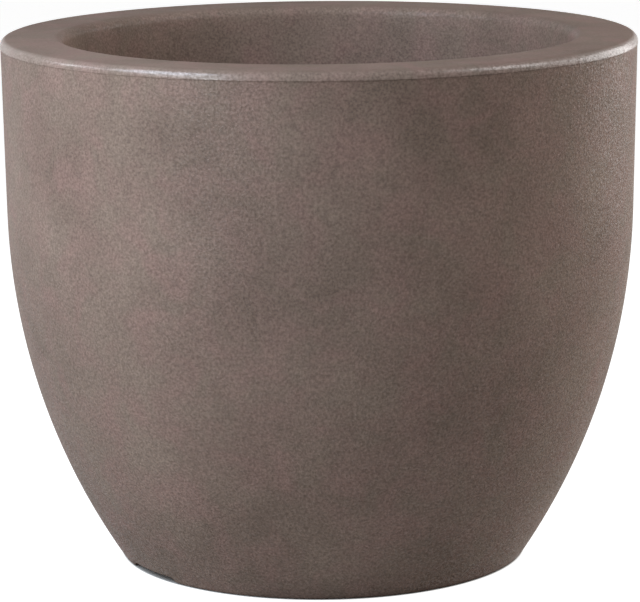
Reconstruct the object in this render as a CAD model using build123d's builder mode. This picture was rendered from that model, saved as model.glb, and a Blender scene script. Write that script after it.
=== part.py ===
# Round garden planter, moulded in one hollow double-walled piece, with its drain bung.
# The axis of the pot is Z, the floor it stands on is Z = 0, and the front is towards -Y.
# All sizes are in millimetres.

import os
from math import asin, cos, degrees, radians, sin, sqrt, tan

from build123d import *

# Outer form of the pot
rim_radius = 250.0
pot_height = 415.0
rim_edge_round = 6.5
rim_land = 1.0
rim_crease = 0.5
wall_draft = 0.85
curve_top = 277.0
curve_radius = 515.0
foot_bevel = 2.0

# Planting space
rim_width = 50.0
rim_inner_round = 8.0
floor_height = 42.0
floor_corner = 30.0
floor_fall = 4.0

# Moulded skin and the drain in the middle of the floor
skin = 4.0
hollow_runs = 5
drain_radius = 16.0
drain_web = 7.0
well_bottom_radius = 32.0
well_top_radius = 56.0
well_bevel = 3.0

# Underside
foot_ring_width = 18.0
recess_depth = 6.0
recess_draft = 2.0
notch_length = 65.0
notch_height = 4.0
notch_ramp = 35.0
notch_bevel = 1.5
notch_angle = 34.0
vent_radius = 6.0
vent_distance = 95.0

# Drain bung and its seal
plug_clearance = 0.3
plug_taper = 2.0
plug_proud = 2.0
plug_skin = 3.0
flange_radius = 25.0
flange_thickness = 4.0
flange_bevel = 1.0
seal_radius = 23.0
seal_thickness = 2.0
seal_clearance = 0.2
grip_length = 38.0
grip_thickness = 8.0
grip_height = 15.0
grip_waist = 1.5
grip_round = 2.0
grip_bevel = 1.5

# Vent plug
vent_clearance = 0.1
vent_head_radius = 9.0
vent_head_thickness = 2.0
vent_head_bevel = 0.6
vent_barb = 0.8
vent_barb_height = 3.0
vent_barb_taper = 25.0

os.makedirs("parts", exist_ok=True)

# The wall is a straight stretch with a little draft, and below it one arc that meets it in a tangent.
draft = radians(wall_draft)
crease_height = pot_height - rim_edge_round - rim_land
wall_top_radius = rim_radius - rim_crease
tangent_radius = wall_top_radius - (crease_height - curve_top) * tan(draft)
arc_centre_x = tangent_radius - curve_radius * cos(draft)
arc_centre_z = curve_top + curve_radius * sin(draft)


def wall_radius(height, inset=0.0):
    """Radius of the curved wall, or of the wall that runs parallel to it inside the pot."""
    arc = curve_radius - inset
    return arc_centre_x + sqrt(arc**2 - (arc_centre_z - height) ** 2)


def arc_angle(height, inset=0.0):
    """Angle on the wall's arc, in degrees, at which it reaches a height."""
    return -degrees(asin((arc_centre_z - height) / (curve_radius - inset)))


def corner(section, radius, height):
    """The corner of a section that lies at a place."""
    return section.vertices().sort_by_distance((radius, height))[0]


foot_radius = wall_radius(0.0)
recess_radius = foot_radius - foot_ring_width
recess_top_radius = recess_radius - recess_depth * tan(radians(recess_draft))
web_top = recess_depth + drain_web
inner_wall_top_radius = rim_radius - rim_width
inner_tangent = (
    arc_centre_x + (curve_radius - rim_width) * cos(draft),
    arc_centre_z - (curve_radius - rim_width) * sin(draft),
)

# The planter is one moulding. Cut through on one side of the axis, its outline runs from the drain
# hole along the underside, round the foot, up the wall, over the rim, down the inner wall and back
# along the planting floor into the drain well.
underside = [
    (drain_radius, recess_depth),
    (recess_top_radius, recess_depth),
    (recess_radius, 0.0),
    (foot_radius, 0.0),
]
planting_floor = [
    (wall_radius(floor_height, rim_width), floor_height),
    (well_top_radius, floor_height - floor_fall),
    (well_bottom_radius, web_top),
    (drain_radius, web_top),
]

with BuildSketch(Plane.XZ) as moulding_section:
    with BuildLine() as outline:
        Polyline((drain_radius, web_top), *underside)
        CenterArc(
            (arc_centre_x, arc_centre_z),
            curve_radius,
            arc_angle(0.0),
            -wall_draft - arc_angle(0.0),
        )
        Polyline(
            (tangent_radius, curve_top),
            (wall_top_radius, crease_height),
            (rim_radius, crease_height),
            (rim_radius, pot_height),
            (inner_wall_top_radius, pot_height),
            inner_tangent,
        )
        CenterArc(
            (arc_centre_x, arc_centre_z),
            curve_radius - rim_width,
            -wall_draft,
            arc_angle(floor_height, rim_width) + wall_draft,
        )
        Polyline(*planting_floor)
    make_face()
    chamfer(corner(moulding_section, foot_radius, 0.0), foot_bevel)
    chamfer(corner(moulding_section, recess_radius, 0.0), foot_bevel)
    fillet(corner(moulding_section, rim_radius, pot_height), rim_edge_round)
    fillet(corner(moulding_section, inner_wall_top_radius, pot_height), rim_inner_round)
    fillet(corner(moulding_section, *planting_floor[0]), floor_corner)
    chamfer(corner(moulding_section, *planting_floor[1]), well_bevel)
    chamfer(corner(moulding_section, *planting_floor[2]), well_bevel)

# The moulding is hollow, with a skin of even thickness. Nothing shows the hollow, so straight runs
# take the place of its curves. Where the drain well comes down to the underside, the two skins meet
# and are fused into one web.
def wall_runs(inset, low, high):
    """Points up the wall's arc, or its parallel inside the pot, that cut it into straight runs."""
    heights = [low + (high - low) * run / hollow_runs for run in range(hollow_runs + 1)]
    return [(wall_radius(height, inset), height) for height in heights]


with BuildSketch(Plane.XZ) as hollow_section:
    with BuildLine():
        Polyline(
            *underside,
            *wall_runs(0.0, 0.0, curve_top)[1:],
            (wall_top_radius, pot_height),
            (inner_wall_top_radius, pot_height),
            *reversed(wall_runs(rim_width, floor_height, inner_tangent[1])),
            *planting_floor[1:],
            close=True,
        )
    make_face()
    offset(amount=-skin, kind=Kind.INTERSECTION)
    chamfer(corner(hollow_section, wall_top_radius, pot_height), rim_edge_round / 2)
    chamfer(corner(hollow_section, inner_wall_top_radius, pot_height), rim_inner_round / 2)

# Two shallow notches on one line through the axis let water out from under the foot ring. The mould
# pushes them up from below, so the skin follows them and the hollow stays closed.
notch_line = radians(notch_angle)
notch_plane = Plane(
    origin=(0, 0, 0),
    x_dir=(-sin(notch_line), cos(notch_line), 0),
    z_dir=(cos(notch_line), sin(notch_line), 0),
)
with BuildSketch(notch_plane) as notch_section:
    Trapezoid(notch_length, notch_height, notch_ramp, align=(Align.CENTER, Align.MIN))
    chamfer(notch_section.vertices().group_by(Axis.Y)[-1], notch_bevel)

with BuildSketch(notch_plane) as notch_liner_section:
    add(notch_section.sketch_local)
    offset(amount=skin, kind=Kind.INTERSECTION)

with BuildPart() as hollow:
    revolve(hollow_section.sketch, axis=Axis.Z)
    extrude(notch_liner_section.sketch, amount=foot_radius, both=True, mode=Mode.SUBTRACT)

vent_line = radians(notch_angle + 90)
vent_place = (vent_distance * cos(vent_line), vent_distance * sin(vent_line))

with BuildPart() as planter_shell:
    revolve(moulding_section.sketch, axis=Axis.Z)
    extrude(notch_section.sketch, amount=foot_radius, both=True, mode=Mode.SUBTRACT)
    add(hollow.part, mode=Mode.SUBTRACT)
    with BuildSketch(Plane.XY.offset(recess_depth)):
        with Locations(vent_place):
            Circle(vent_radius)
    extrude(amount=skin, mode=Mode.SUBTRACT)

# The drain bung stands in the hole in the web. Its stem is a tapered cup, open from below, and its
# flange lies on the seal. The grip is a bar with a waist for two fingers, below the planting floor.
flange_bottom = web_top + seal_thickness
flange_top = flange_bottom + flange_thickness
stem_tip = recess_depth - plug_proud
stem_draft = tan(radians(plug_taper))
stem_radius = drain_radius - plug_clearance
tip_radius = stem_radius - (flange_bottom - stem_tip) * stem_draft

with BuildPart() as drain_plug:
    with BuildSketch(Plane.XZ):
        with BuildLine():
            Polyline(
                (0, flange_bottom),
                (stem_radius - plug_skin, flange_bottom),
                (tip_radius - plug_skin, stem_tip),
                (tip_radius, stem_tip),
                (stem_radius, flange_bottom),
                (flange_radius, flange_bottom),
                (flange_radius, flange_top),
                (0, flange_top),
                (0, flange_bottom),
            )
        make_face()
    revolve(axis=Axis.Z)
    chamfer(drain_plug.edges().filter_by(GeomType.CIRCLE).sort_by(SortBy.RADIUS)[-2:], flange_bevel)
    with BuildSketch(Plane.XY.offset(flange_top)) as grip_section:
        with BuildLine():
            near = SagittaArc(
                (-grip_length / 2, -grip_thickness / 2),
                (grip_length / 2, -grip_thickness / 2),
                grip_waist,
            )
            far = SagittaArc(
                (grip_length / 2, grip_thickness / 2),
                (-grip_length / 2, grip_thickness / 2),
                grip_waist,
            )
            Line(near @ 1, far @ 0)
            Line(far @ 1, near @ 0)
        make_face()
        fillet(grip_section.vertices(), grip_round)
    extrude(amount=grip_height)
    chamfer(drain_plug.faces().sort_by(Axis.Z)[-1].edges(), grip_bevel)

with BuildPart() as plug_seal:
    with BuildSketch(Plane.XY.offset(web_top)):
        Circle(seal_radius)
        Circle(stem_radius + seal_clearance, mode=Mode.SUBTRACT)
    extrude(amount=seal_thickness)

# The vent plug is pushed in from below. Its head lies under the skin and its barb has snapped out
# above it, inside the hollow.
vent_stem_radius = vent_radius - vent_clearance
vent_skin_top = recess_depth + skin
barb_radius = vent_radius + vent_barb
barb_tip_radius = barb_radius - vent_barb_height * tan(radians(vent_barb_taper))

with BuildPart() as vent_plug:
    with BuildSketch(Plane.XY.offset(recess_depth - vent_head_thickness)):
        with Locations(vent_place):
            Circle(vent_head_radius)
    extrude(amount=vent_head_thickness)
    chamfer(vent_plug.faces().sort_by(Axis.Z)[0].edges(), vent_head_bevel)
    with BuildSketch(Plane.XY.offset(recess_depth)):
        with Locations(vent_place):
            Circle(vent_stem_radius)
    extrude(amount=skin)
    with BuildSketch(Plane.XY.offset(vent_skin_top)):
        with Locations(vent_place):
            Circle(barb_radius)
    with BuildSketch(Plane.XY.offset(vent_skin_top + vent_barb_height)):
        with Locations(vent_place):
            Circle(barb_tip_radius)
    loft()

planter_shell.part.label = "planter_shell"
drain_plug.part.label = "drain_plug"
plug_seal.part.label = "plug_seal"
vent_plug.part.label = "vent_plug"

export_step(planter_shell.part, "parts/planter_shell.step")
export_step(drain_plug.part, "parts/drain_plug.step")
export_step(plug_seal.part, "parts/plug_seal.step")
export_step(vent_plug.part, "parts/vent_plug.step")
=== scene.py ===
import math

import bpy
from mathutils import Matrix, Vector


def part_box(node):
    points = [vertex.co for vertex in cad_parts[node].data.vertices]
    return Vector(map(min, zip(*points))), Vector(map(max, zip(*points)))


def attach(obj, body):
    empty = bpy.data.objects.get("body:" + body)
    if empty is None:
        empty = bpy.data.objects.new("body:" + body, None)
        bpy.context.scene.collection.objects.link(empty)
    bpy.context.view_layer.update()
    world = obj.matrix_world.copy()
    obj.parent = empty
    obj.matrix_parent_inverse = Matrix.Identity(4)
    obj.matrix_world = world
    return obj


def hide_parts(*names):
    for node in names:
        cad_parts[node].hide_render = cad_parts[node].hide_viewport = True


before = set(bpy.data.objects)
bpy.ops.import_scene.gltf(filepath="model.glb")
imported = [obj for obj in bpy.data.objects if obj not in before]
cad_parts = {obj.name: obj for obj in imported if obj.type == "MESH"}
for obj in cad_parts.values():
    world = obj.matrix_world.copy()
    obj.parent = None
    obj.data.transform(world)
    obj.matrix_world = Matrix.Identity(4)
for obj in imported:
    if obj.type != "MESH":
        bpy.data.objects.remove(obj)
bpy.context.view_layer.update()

# The camera looks slightly down on the planter from the front, from about two and a half metres
# away. Its place, its lens and its small tilt come from a fit to the photographed outline.
camera_distance = 2.549
camera_side = -0.0009
camera_height = 0.6988
camera_pitch = 0.1933
camera_roll = 0.0089
lens_mm = 183.0
sensor_mm = 36.0

camera = bpy.data.objects.new("camera", bpy.data.cameras.new("camera"))
bpy.context.scene.collection.objects.link(camera)
camera.data.lens = lens_mm
camera.data.sensor_width = sensor_mm
camera.location = (camera_side, -camera_distance, camera_height)
camera.rotation_euler = (math.pi / 2 - camera_pitch, 0.0, 0.0)
camera.rotation_euler.rotate_axis("Z", -camera_roll)
bpy.context.scene.camera = camera
bpy.context.scene.view_settings.view_transform = "Standard"

# The pot is one hollow moulding of polyethylene, made by turning powder in a heated mould. The
# mould leaves a rounding on every edge, a parting crease under the rim and a wall that is never
# quite even. Two notches are pressed up into its foot ring, so that water can leave.
mm = 0.001
pot_lowest, pot_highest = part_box("planter_shell")
rim_radius = (pot_highest.x - pot_lowest.x) / 2
pot_height = pot_highest.z - pot_lowest.z
rim_width = 50 * mm
rim_edge_round = 6.5 * mm
rim_inner_round = 8 * mm
rim_land = 1 * mm
rim_crease = 0.5 * mm
wall_draft = math.radians(0.85)
curve_top = 277 * mm
curve_radius = 515 * mm
foot_ring_width = 18 * mm
foot_round = 3 * mm
recess_depth = 6 * mm
recess_draft = math.radians(2)
floor_height = 42 * mm
floor_fall = 4 * mm
floor_corner = 30 * mm
well_top_radius = 56 * mm
well_bottom_radius = 32 * mm
well_round = 5 * mm
drain_radius = 16 * mm
drain_edge_round = 0.5 * mm
web_top = 13 * mm
notch_length = 65 * mm
notch_height = 4 * mm
notch_ramp = math.radians(35)
notch_angle = math.radians(34)
outer_rows = 36
inner_rows = 12
corner_points = 6
turned_segments = 360
row_spacing = 7.5 * mm
wave_length = 85 * mm
wave_depth = 0.3 * mm
still_radius = 40 * mm
moving_radius = 75 * mm
sharp_edge = math.radians(33)

crease_height = pot_height - rim_edge_round - rim_land
tangent_radius = rim_radius - rim_crease - (crease_height - curve_top) * math.tan(wall_draft)
arc_centre_x = tangent_radius - curve_radius * math.cos(wall_draft)
arc_centre_z = curve_top + curve_radius * math.sin(wall_draft)


def wall_arc(inset, lowest, highest, rows):
    """Points up the wall's arc, or up its parallel inside the pot, from one height to another."""
    radius = curve_radius - inset
    low = math.asin((lowest - arc_centre_z) / radius)
    high = math.asin((highest - arc_centre_z) / radius)
    turns = [low + (high - low) * row / rows for row in range(rows + 1)]
    return [(arc_centre_x + radius * math.cos(turn), arc_centre_z + radius * math.sin(turn), 0.0)
            for turn in turns]


outer_curve = wall_arc(0.0, 0.0, curve_top, outer_rows)
inner_top = arc_centre_z - (curve_radius - rim_width) * math.sin(wall_draft)
inner_curve = wall_arc(rim_width, floor_height, inner_top, inner_rows)
foot_radius = outer_curve[0][0]
recess_radius = foot_radius - foot_ring_width

# Each corner of the outline is its radius, its height and its rounding.
pot_outline = [
    (drain_radius, web_top, drain_edge_round),
    (drain_radius, recess_depth, drain_edge_round),
    (recess_radius - recess_depth * math.tan(recess_draft), recess_depth, foot_round / 2),
    (recess_radius, 0.0, foot_round),
    (foot_radius, 0.0, foot_round),
    *outer_curve[1:],
    (rim_radius - rim_crease, crease_height, 0.0),
    (rim_radius, crease_height, rim_crease / 2),
    (rim_radius, pot_height, rim_edge_round),
    (rim_radius - rim_width, pot_height, rim_inner_round),
    *reversed(inner_curve[1:]),
    (inner_curve[0][0], floor_height, floor_corner),
    (well_top_radius, floor_height - floor_fall, well_round),
    (well_bottom_radius, web_top, well_round),
]


def add_node(tree, kind, inputs=(), **settings):
    """Adds a node, with its settings, and gives each named input a value or a link."""
    node = tree.nodes.new(kind)
    for name, value in settings.items():
        setattr(node, name, value)
    for name, value in dict(inputs).items():
        if isinstance(value, bpy.types.NodeSocket):
            tree.links.new(value, node.inputs[name])
        else:
            node.inputs[name].default_value = value
    return node


def turned_moulding(material):
    """Geometry Nodes that round an outline's corners, turn it about Z and press in the notches."""
    tree = bpy.data.node_groups.new("turned moulding", "GeometryNodeTree")
    tree.interface.new_socket("Geometry", in_out="INPUT", socket_type="NodeSocketGeometry")
    for name in ("Path Radius", "Row Spacing", "Notch Length", "Notch Height", "Notch Slope",
                 "Notch Angle", "Wave Length", "Wave Depth", "Still Radius", "Moving Radius",
                 "Sharp Edge"):
        tree.interface.new_socket(name, in_out="INPUT", socket_type="NodeSocketFloat")
    for name in ("Segments", "Corner Points"):
        tree.interface.new_socket(name, in_out="INPUT", socket_type="NodeSocketInt")
    tree.interface.new_socket("Geometry", in_out="OUTPUT", socket_type="NodeSocketGeometry")
    given = tree.nodes.new("NodeGroupInput").outputs

    # The outline comes in as a closed chain of edges. Its corners are rounded, and its long
    # stretches are divided, so that no row of the turned surface is wider than the spacing.
    chain = add_node(tree, "GeometryNodeMeshToCurve", {"Mesh": given["Geometry"]})
    rounding = add_node(tree, "GeometryNodeInputNamedAttribute", {"Name": "rounding"},
                        data_type="FLOAT")
    rounded = add_node(tree, "GeometryNodeFilletCurve",
                       {"Curve": chain.outputs["Curve"], "Count": given["Corner Points"],
                        "Radius": rounding.outputs["Attribute"], "Limit Radius": True},
                       mode="POLY")
    here = add_node(tree, "GeometryNodeInputPosition")
    following = add_node(tree, "GeometryNodeOffsetPointInCurve", {"Offset": 1})
    there = add_node(tree, "GeometryNodeFieldAtIndex",
                     {"Index": following.outputs["Point Index"], "Value": here.outputs["Position"]},
                     data_type="FLOAT_VECTOR", domain="POINT")
    stretch = add_node(tree, "ShaderNodeVectorMath",
                       {0: here.outputs["Position"], 1: there.outputs["Value"]},
                       operation="DISTANCE")
    rows = add_node(tree, "ShaderNodeMath",
                    {0: stretch.outputs["Value"], 1: given["Row Spacing"]}, operation="DIVIDE")
    divided = add_node(tree, "GeometryNodeSubdivideCurve",
                       {"Curve": rounded.outputs["Curve"], "Cuts": rows.outputs[0]})
    path = add_node(tree, "GeometryNodeCurvePrimitiveCircle",
                    {"Resolution": given["Segments"], "Radius": given["Path Radius"]},
                    mode="RADIUS")
    swept = add_node(tree, "GeometryNodeCurveToMesh",
                     {"Curve": path.outputs["Curve"], "Profile Curve": divided.outputs["Curve"]})
    turned = add_node(tree, "GeometryNodeFlipFaces", {"Mesh": swept.outputs["Mesh"]})

    # The mould's wall is a little wavy. The waves only go inwards, and fade out near the drain.
    place = add_node(tree, "GeometryNodeInputPosition")
    facing = add_node(tree, "GeometryNodeInputNormal")
    frequency = add_node(tree, "ShaderNodeMath", {0: 1.0, 1: given["Wave Length"]},
                         operation="DIVIDE")
    waves = add_node(tree, "ShaderNodeTexNoise",
                     {"Vector": place.outputs["Position"], "Scale": frequency.outputs[0],
                      "Detail": 1.0})
    flat_place = add_node(tree, "ShaderNodeVectorMath",
                          {0: place.outputs["Position"], 1: (1.0, 1.0, 0.0)},
                          operation="MULTIPLY")
    from_axis = add_node(tree, "ShaderNodeVectorMath", {0: flat_place.outputs["Vector"]},
                         operation="LENGTH")
    fade = add_node(tree, "ShaderNodeMapRange",
                    {"Value": from_axis.outputs["Value"], "From Min": given["Still Radius"],
                     "From Max": given["Moving Radius"]})
    inwards = add_node(tree, "ShaderNodeMath",
                       {0: fade.outputs["Result"], 1: given["Wave Depth"]}, operation="MULTIPLY")
    depth = add_node(tree, "ShaderNodeMath",
                     {0: inwards.outputs[0], 1: waves.outputs["Fac"]}, operation="MULTIPLY")
    back = add_node(tree, "ShaderNodeMath", {0: depth.outputs[0], 1: -1.0}, operation="MULTIPLY")
    shift = add_node(tree, "ShaderNodeVectorMath",
                     {0: facing.outputs["Normal"], "Scale": back.outputs[0]}, operation="SCALE")
    wavy = add_node(tree, "GeometryNodeSetPosition",
                    {"Geometry": turned.outputs["Mesh"], "Offset": shift.outputs["Vector"]})

    # Each notch is a band across the foot. What lies lower than its roof is lifted to the roof.
    where = add_node(tree, "GeometryNodeInputPosition")
    across = add_node(tree, "ShaderNodeVectorRotate",
                      {"Vector": where.outputs["Position"], "Angle": given["Notch Angle"]},
                      rotation_type="Z_AXIS", invert=True)
    parts = add_node(tree, "ShaderNodeSeparateXYZ", {"Vector": across.outputs["Vector"]})
    from_line = add_node(tree, "ShaderNodeMath", {0: parts.outputs["Y"]}, operation="ABSOLUTE")
    half_length = add_node(tree, "ShaderNodeMath", {0: given["Notch Length"], 1: 0.5},
                           operation="MULTIPLY")
    inside = add_node(tree, "ShaderNodeMath", {0: half_length.outputs[0], 1: from_line.outputs[0]},
                      operation="SUBTRACT")
    ramp = add_node(tree, "ShaderNodeMath", {0: inside.outputs[0], 1: given["Notch Slope"]},
                    operation="MULTIPLY")
    roof = add_node(tree, "ShaderNodeMath", {0: ramp.outputs[0], 1: given["Notch Height"]},
                    operation="MINIMUM")
    level = add_node(tree, "ShaderNodeMath", {0: roof.outputs[0], 1: parts.outputs["Z"]},
                     operation="MAXIMUM")
    split = add_node(tree, "ShaderNodeSeparateXYZ", {"Vector": where.outputs["Position"]})
    lifted = add_node(tree, "ShaderNodeCombineXYZ",
                      {"X": split.outputs["X"], "Y": split.outputs["Y"], "Z": level.outputs[0]})
    notched = add_node(tree, "GeometryNodeSetPosition",
                       {"Geometry": wavy.outputs["Geometry"], "Position": lifted.outputs["Vector"]})

    # Roundings shade smoothly. The crease and the notches' ends stay crisp.
    edge = add_node(tree, "GeometryNodeInputMeshEdgeAngle")
    sharp = add_node(tree, "FunctionNodeCompare",
                     {"A": edge.outputs["Unsigned Angle"], "B": given["Sharp Edge"]},
                     data_type="FLOAT", operation="GREATER_THAN")
    smooth = add_node(tree, "GeometryNodeSetShadeSmooth", {"Geometry": notched.outputs["Geometry"]},
                      domain="FACE")
    creased = add_node(tree, "GeometryNodeSetShadeSmooth",
                       {"Geometry": smooth.outputs["Geometry"],
                        "Selection": sharp.outputs["Result"], "Shade Smooth": False},
                       domain="EDGE")
    real = add_node(tree, "GeometryNodeRealizeInstances", {"Geometry": creased.outputs["Geometry"]})
    finished = add_node(tree, "GeometryNodeSetMaterial",
                        {"Geometry": real.outputs["Geometry"], "Material": material})
    add_node(tree, "NodeGroupOutput", {"Geometry": finished.outputs["Geometry"]})
    return tree


def linear(hex_colour):
    """The linear colour of an sRGB hex value."""
    channels = [int(hex_colour[place:place + 2], 16) / 255 for place in (1, 3, 5)]
    return (*[c / 12.92 if c <= 0.04045 else ((c + 0.055) / 1.055) ** 2.4 for c in channels], 1.0)


def new_material(name):
    """A material with an empty tree but for its output and its shader."""
    material = bpy.data.materials.new(name)
    material.use_nodes = True
    tree = material.node_tree
    return material, tree, tree.nodes["Principled BSDF"]


# A Mix node's colour sockets share their names with its number sockets, so they go by place.
first_colour, second_colour, mixed_colour = 6, 7, 2


def rotomoulded_polyethylene():
    """Polyethylene coloured like stone. The powder's dark and light grains fuse without mixing, so
    the colour is speckled close up and cloudy from afar, and the skin is satin with a fine grit.
    The grains are about half a millimetre wide, and are drawn coarser, so that they show."""
    dark_cloud = "#6E5D53"
    light_cloud = "#867468"
    pink_patch = "#876C64"
    cloud_mm = 110
    patch_mm = 34
    grain_mm = 1.9
    grit_mm = 1.8
    grit_depth_mm = 0.38
    grain_darkest, grain_lightest = 0.77, 1.24
    worn_and_shaded_darkest, worn_and_shaded_lightest = 0.88, 1.0
    worn_and_shaded_from = pot_height - 2.5 * mm
    worn_and_shaded_fully = pot_height - 0.5 * mm
    shiny_from = rim_radius - 0.7 * rim_edge_round
    shiny_fully = rim_radius - 0.25 * rim_edge_round
    grain_gloss, worn_gloss = 0.4, 0.03
    edge_gloss_least, edge_gloss_most = 0.4, 1.0
    edge_relief = 0.35
    material, tree, shader = new_material("polyethylene, rotomoulded, stone grain")
    place = add_node(tree, "ShaderNodeTexCoord").outputs["Object"]
    clouds = add_node(tree, "ShaderNodeTexNoise",
                      {"Vector": place, "Scale": 1000 / cloud_mm, "Detail": 3.0, "Roughness": 0.6})
    patches = add_node(tree, "ShaderNodeTexNoise",
                       {"Vector": place, "Scale": 1000 / patch_mm, "Detail": 3.0,
                        "Distortion": 0.7})
    grain = add_node(tree, "ShaderNodeTexNoise",
                     {"Vector": place, "Scale": 1000 / grain_mm, "Detail": 1.0, "Roughness": 0.6})
    grit = add_node(tree, "ShaderNodeTexNoise",
                    {"Vector": place, "Scale": 1000 / grit_mm, "Detail": 2.0, "Roughness": 0.7})

    # The flat top of the rim is rubbed smooth, and its speckles are fainter. Its colour there is
    # also darker on average, which is painted shade on the rim's upward face.
    cloud_mix = add_node(tree, "ShaderNodeMapRange",
                         {"Value": clouds.outputs["Fac"], "From Min": 0.26, "From Max": 0.76})
    patch_mix = add_node(tree, "ShaderNodeMapRange",
                         {"Value": patches.outputs["Fac"], "From Min": 0.4, "From Max": 0.7,
                          "To Max": 0.6})
    height = add_node(tree, "ShaderNodeSeparateXYZ", {"Vector": place}).outputs["Z"]
    flat_top = add_node(tree, "ShaderNodeMapRange",
                        {"Value": height, "From Min": worn_and_shaded_from, "From Max": worn_and_shaded_fully})
    # Painted shade: on the flat top the speckles' range is lowered as well as narrowed, so the top
    # comes out darker.
    darkest = add_node(tree, "ShaderNodeMapRange",
                       {"Value": flat_top.outputs["Result"], "To Min": grain_darkest,
                        "To Max": worn_and_shaded_darkest})
    lightest = add_node(tree, "ShaderNodeMapRange",
                        {"Value": flat_top.outputs["Result"], "To Min": grain_lightest,
                         "To Max": worn_and_shaded_lightest})
    grain_value = add_node(tree, "ShaderNodeMapRange",
                           {"Value": grain.outputs["Fac"], "From Min": 0.3, "From Max": 0.7,
                            "To Min": darkest.outputs["Result"],
                            "To Max": lightest.outputs["Result"]})
    clouded = add_node(tree, "ShaderNodeMix",
                       {"Factor": cloud_mix.outputs["Result"], first_colour: linear(dark_cloud),
                        second_colour: linear(light_cloud)}, data_type="RGBA")
    patched = add_node(tree, "ShaderNodeMix",
                       {"Factor": patch_mix.outputs["Result"],
                        first_colour: clouded.outputs[mixed_colour],
                        second_colour: linear(pink_patch)}, data_type="RGBA")
    speckled = add_node(tree, "ShaderNodeHueSaturation",
                        {"Color": patched.outputs[mixed_colour],
                         "Value": grain_value.outputs["Result"]})
    roughness = add_node(tree, "ShaderNodeMapRange",
                         {"Value": grit.outputs["Fac"], "From Min": 0.3, "From Max": 0.7,
                          "To Min": 0.6, "To Max": 0.8})

    # Some grains have fused to a smooth skin and shine, others are matt. The lower half of the
    # rim's rounded edge lay on bare polished steel, and nearly all of it shines.
    level = add_node(tree, "ShaderNodeVectorMath", {0: place, 1: (1.0, 1.0, 0.0)},
                     operation="MULTIPLY")
    from_axis = add_node(tree, "ShaderNodeVectorMath", {0: level.outputs["Vector"]},
                         operation="LENGTH")
    at_rim = add_node(tree, "ShaderNodeMapRange",
                      {"Value": from_axis.outputs["Value"], "From Min": shiny_from,
                       "From Max": shiny_fully})
    at_top = add_node(tree, "ShaderNodeMapRange",
                      {"Value": height, "From Min": crease_height,
                       "From Max": crease_height + rim_land})
    edge = add_node(tree, "ShaderNodeMath", {0: at_rim.outputs["Result"],
                                             1: at_top.outputs["Result"]}, operation="MULTIPLY")
    shiny_grain = add_node(tree, "ShaderNodeMapRange",
                           {"Value": grit.outputs["Fac"], "From Min": 0.42, "From Max": 0.7,
                            "To Max": grain_gloss})
    shiny_edge = add_node(tree, "ShaderNodeMapRange",
                          {"Value": grain.outputs["Fac"], "From Min": 0.3, "From Max": 0.6,
                           "To Min": edge_gloss_least, "To Max": edge_gloss_most})
    worn_flat = add_node(tree, "ShaderNodeMix",
                         {"Factor": flat_top.outputs["Result"], "A": shiny_grain.outputs["Result"],
                          "B": worn_gloss}, data_type="FLOAT")
    shine = add_node(tree, "ShaderNodeMix",
                     {"Factor": edge.outputs[0], "A": worn_flat.outputs["Result"],
                      "B": shiny_edge.outputs["Result"]}, data_type="FLOAT")
    relief = add_node(tree, "ShaderNodeMapRange",
                      {"Value": edge.outputs[0], "To Min": 1.0, "To Max": edge_relief})
    bump = add_node(tree, "ShaderNodeBump",
                    {"Height": grit.outputs["Fac"], "Distance": grit_depth_mm * mm,
                     "Strength": relief.outputs["Result"]})
    tree.links.new(speckled.outputs["Color"], shader.inputs["Base Color"])
    tree.links.new(roughness.outputs["Result"], shader.inputs["Roughness"])
    tree.links.new(bump.outputs["Normal"], shader.inputs["Normal"])
    tree.links.new(shine.outputs["Result"], shader.inputs["Coat Weight"])
    tree.links.new(bump.outputs["Normal"], shader.inputs["Coat Normal"])
    shader.inputs["Coat IOR"].default_value = 1.51
    shader.inputs["Coat Roughness"].default_value = 0.26
    shader.inputs["IOR"].default_value = 1.51
    shader.inputs["Specular IOR Level"].default_value = 0.02
    return material


path_radius = 100 * mm
outline_mesh = bpy.data.meshes.new("pot outline")
outline_mesh.from_pydata(
    [(radius - path_radius, -height, 0.0) for radius, height, rounding in pot_outline],
    [(corner, (corner + 1) % len(pot_outline)) for corner in range(len(pot_outline))],
    [],
)
outline_rounding = outline_mesh.attributes.new("rounding", "FLOAT", "POINT")
for corner, (radius, height, rounding) in enumerate(pot_outline):
    outline_rounding.data[corner].value = rounding

pot = bpy.data.objects.new("pot_moulding", outline_mesh)
bpy.context.scene.collection.objects.link(pot)
turning = pot.modifiers.new("turning", "NODES")
turning.node_group = turned_moulding(rotomoulded_polyethylene())
turning_sizes = {
    "Path Radius": path_radius,
    "Row Spacing": row_spacing,
    "Notch Length": notch_length,
    "Notch Height": notch_height,
    "Notch Slope": math.tan(notch_ramp),
    "Notch Angle": notch_angle,
    "Wave Length": wave_length,
    "Wave Depth": wave_depth,
    "Still Radius": still_radius,
    "Moving Radius": moving_radius,
    "Sharp Edge": sharp_edge,
    "Segments": turned_segments,
    "Corner Points": corner_points,
}
for socket in turning.node_group.interface.items_tree:
    if socket.in_out == "INPUT" and socket.name in turning_sizes:
        turning[socket.identifier] = turning_sizes[socket.name]
bpy.context.view_layer.update()
turned_pot = pot.evaluated_get(bpy.context.evaluated_depsgraph_get())
pot_mesh = bpy.data.meshes.new_from_object(turned_pot)
pot.modifiers.remove(turning)
pot.data = pot_mesh
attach(pot, "pot")
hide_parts("planter_shell")


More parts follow.
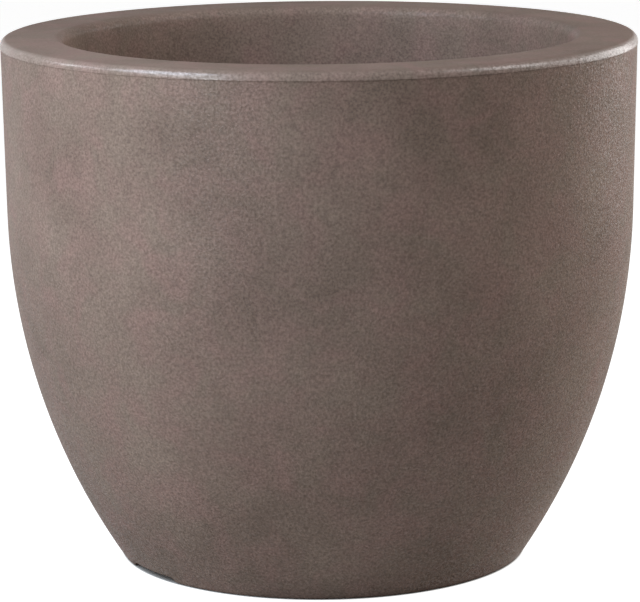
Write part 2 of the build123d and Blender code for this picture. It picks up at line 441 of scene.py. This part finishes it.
# The drain bung is an injection-moulded polypropylene stopper with a finger grip. Its seal is a
# flat ring of nitrile rubber, pushed up the stem, and its flange presses the ring on the floor of
# the well.
def moulded_polypropylene():
    """Polypropylene from a spark-eroded mould: near black, evenly satin, with a regular grit that
    is drawn coarser than the real one, so that it shows."""
    body_colour = "#26262A"
    worn_colour = "#3A3A3E"
    grit_mm = 0.5
    grit_depth_mm = 0.03
    cloud_mm = 18
    material, tree, shader = new_material("polypropylene, injection moulded, eroded satin")
    place = add_node(tree, "ShaderNodeTexCoord").outputs["Object"]
    grit = add_node(tree, "ShaderNodeTexNoise",
                    {"Vector": place, "Scale": 1000 / grit_mm, "Detail": 2.0})
    clouds = add_node(tree, "ShaderNodeTexNoise",
                      {"Vector": place, "Scale": 1000 / cloud_mm, "Detail": 3.0})
    wear = add_node(tree, "ShaderNodeMapRange",
                    {"Value": clouds.outputs["Fac"], "From Min": 0.45, "From Max": 0.75,
                     "To Max": 0.6})
    worn = add_node(tree, "ShaderNodeMix",
                    {"Factor": wear.outputs["Result"], first_colour: linear(body_colour),
                     second_colour: linear(worn_colour)}, data_type="RGBA")
    roughness = add_node(tree, "ShaderNodeMapRange",
                         {"Value": grit.outputs["Fac"], "To Min": 0.38, "To Max": 0.55})
    bump = add_node(tree, "ShaderNodeBump",
                    {"Height": grit.outputs["Fac"], "Distance": grit_depth_mm * mm,
                     "Strength": 0.7})
    tree.links.new(worn.outputs[mixed_colour], shader.inputs["Base Color"])
    tree.links.new(roughness.outputs["Result"], shader.inputs["Roughness"])
    tree.links.new(bump.outputs["Normal"], shader.inputs["Normal"])
    shader.inputs["IOR"].default_value = 1.49
    return material


def nitrile_rubber():
    """Die-cut nitrile rubber sheet: black, matt and slightly dusty, with the sheet's cloth-like
    grit, which is drawn coarser than the real one, so that it shows."""
    sheet_colour = "#1D1D1E"
    dust_colour = "#3B3937"
    grit_mm = 0.4
    grit_depth_mm = 0.04
    dust_mm = 6
    material, tree, shader = new_material("nitrile rubber, die-cut sheet, matt")
    place = add_node(tree, "ShaderNodeTexCoord").outputs["Object"]
    grit = add_node(tree, "ShaderNodeTexNoise",
                    {"Vector": place, "Scale": 1000 / grit_mm, "Detail": 1.0})
    dust = add_node(tree, "ShaderNodeTexNoise",
                    {"Vector": place, "Scale": 1000 / dust_mm, "Detail": 4.0})
    dusting = add_node(tree, "ShaderNodeMapRange",
                       {"Value": dust.outputs["Fac"], "From Min": 0.5, "From Max": 0.8,
                        "To Max": 0.5})
    dusty = add_node(tree, "ShaderNodeMix",
                     {"Factor": dusting.outputs["Result"], first_colour: linear(sheet_colour),
                      second_colour: linear(dust_colour)}, data_type="RGBA")
    bump = add_node(tree, "ShaderNodeBump",
                    {"Height": grit.outputs["Fac"], "Distance": grit_depth_mm * mm,
                     "Strength": 0.8})
    tree.links.new(dusty.outputs[mixed_colour], shader.inputs["Base Color"])
    tree.links.new(bump.outputs["Normal"], shader.inputs["Normal"])
    shader.inputs["Roughness"].default_value = 0.8
    return material


def finish_node(node_name, material):
    """Puts one material on a CAD node."""
    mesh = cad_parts[node_name].data
    mesh.materials.clear()
    mesh.materials.append(material)


bung_material = moulded_polypropylene()
finish_node("drain_plug", bung_material)
finish_node("plug_seal", nitrile_rubber())

# The vent plug closes the hole through which the moulding was cooled and emptied of air. It is of
# the same black polypropylene as the bung, pushed in from below until its barb snaps out.
finish_node("vent_plug", bung_material)


# The floor is a pale seamless sheet of paper, laid flat under the foot. The camera sees it and the
# surroundings white, and the shadow of the planter stays on it.
# Its glow is taken away in a disc a little wider than the foot and moved forwards, which paints a
# thin dark contact shadow round the foot.
def looking_ray(tree):
    """1 on a ray that looks at a thing, from the camera or by way of a gloss or glass, else 0."""
    ray = add_node(tree, "ShaderNodeLightPath")
    looking = add_node(tree, "ShaderNodeMath",
                       {0: ray.outputs["Is Camera Ray"], 1: ray.outputs["Is Glossy Ray"]},
                       operation="MAXIMUM")
    looking = add_node(tree, "ShaderNodeMath",
                       {0: looking.outputs[0], 1: ray.outputs["Is Transmission Ray"]},
                       operation="MAXIMUM")
    return looking.outputs[0]


floor_size = 16.0
floor_colour = "#B2B0AD"
floor_glow = 0.93
painted_shadow_forwards = 1.5 * mm
glow_from = foot_radius - 1 * mm
glow_fully = foot_radius + 1 * mm
bpy.ops.mesh.primitive_plane_add(size=floor_size, location=(0.0, 0.0, 0.0))
floor = bpy.context.active_object
floor.name = "studio_floor"
floor_material, floor_tree, floor_shader = new_material("paper, matt, pale")
floor_shader.inputs["Base Color"].default_value = linear(floor_colour)
floor_shader.inputs["Roughness"].default_value = 0.9
floor_shader.inputs["Specular IOR Level"].default_value = 0.1
floor_place = add_node(floor_tree, "ShaderNodeTexCoord").outputs["Object"]
painted_shadow_place = add_node(floor_tree, "ShaderNodeVectorMath",
                        {0: floor_place, 1: (0.0, painted_shadow_forwards, 0.0)}, operation="ADD")
under_foot = add_node(floor_tree, "ShaderNodeVectorMath", {0: painted_shadow_place.outputs["Vector"]},
                      operation="LENGTH")
# Painted shadow: no glow inside a disc just wider than the foot and shifted forwards, so a thin
# dark ring shows round it.
clear = add_node(floor_tree, "ShaderNodeMapRange",
                 {"Value": under_foot.outputs["Value"], "From Min": glow_from,
                  "From Max": glow_fully, "To Max": floor_glow})
glow = add_node(floor_tree, "ShaderNodeMath",
                {0: looking_ray(floor_tree), 1: clear.outputs["Result"]}, operation="MULTIPLY")
floor_shader.inputs["Emission Color"].default_value = (1.0, 1.0, 1.0, 1.0)
floor_tree.links.new(glow.outputs[0], floor_shader.inputs["Emission Strength"])
floor.data.materials.append(floor_material)

# The surroundings are a white studio. The camera and every gloss see them white, but they give
# only a faint fill light, so that the lamps shape the planter.
fill_level = 0.02
world = bpy.data.worlds.new("studio")
bpy.context.scene.world = world
world.use_nodes = True
surroundings = world.node_tree.nodes["Background"]
surroundings.inputs["Color"].default_value = (1.0, 1.0, 1.0, 1.0)
world_level = add_node(world.node_tree, "ShaderNodeMapRange",
                       {"Value": looking_ray(world.node_tree), "To Min": fill_level, "To Max": 1.0})
world.node_tree.links.new(world_level.outputs["Result"], surroundings.inputs["Strength"])


# Seven square soft lamps stand round the planter. Those on the left and in front light it most,
# and those on the right and behind it give its right side a paler edge.
def softbox(name, colour, azimuth, elevation, distance, size, watts):
    """A square soft lamp, aimed at the middle of the planter. Azimuth 0 is the camera's side."""
    turn, lift = math.radians(azimuth), math.radians(elevation)
    lamp = bpy.data.objects.new(name, bpy.data.lights.new(name, "AREA"))
    bpy.context.scene.collection.objects.link(lamp)
    lamp.data.size = size
    lamp.data.energy = watts
    lamp.data.color = linear(colour)[:3]
    lamp.location = (distance * math.cos(lift) * math.sin(turn),
                     -distance * math.cos(lift) * math.cos(turn),
                     pot_height / 2 + distance * math.sin(lift))
    lamp.rotation_euler = (math.pi / 2 - lift, 0.0, turn)


softbox("key", "#E0EEFF", azimuth=-58, elevation=41, distance=1.4, size=0.6, watts=15.5)
softbox("front_key", "#F0F8FF", azimuth=-44, elevation=22, distance=2.0, size=0.8, watts=13)
softbox("low_left", "#F0F8FF", azimuth=-36, elevation=5, distance=2.0, size=0.3, watts=6.5)
softbox("left_edge", "#F0F8FF", azimuth=-97, elevation=28, distance=2.0, size=0.4, watts=5.5)
softbox("right_edge", "#FFFFFF", azimuth=123, elevation=9, distance=2.0, size=1.4, watts=21)
softbox("right_high", "#FFFFFF", azimuth=72, elevation=41, distance=1.6, size=0.7, watts=8)
softbox("right_low", "#FFFFFF", azimuth=92, elevation=24, distance=2.0, size=1.2, watts=9)
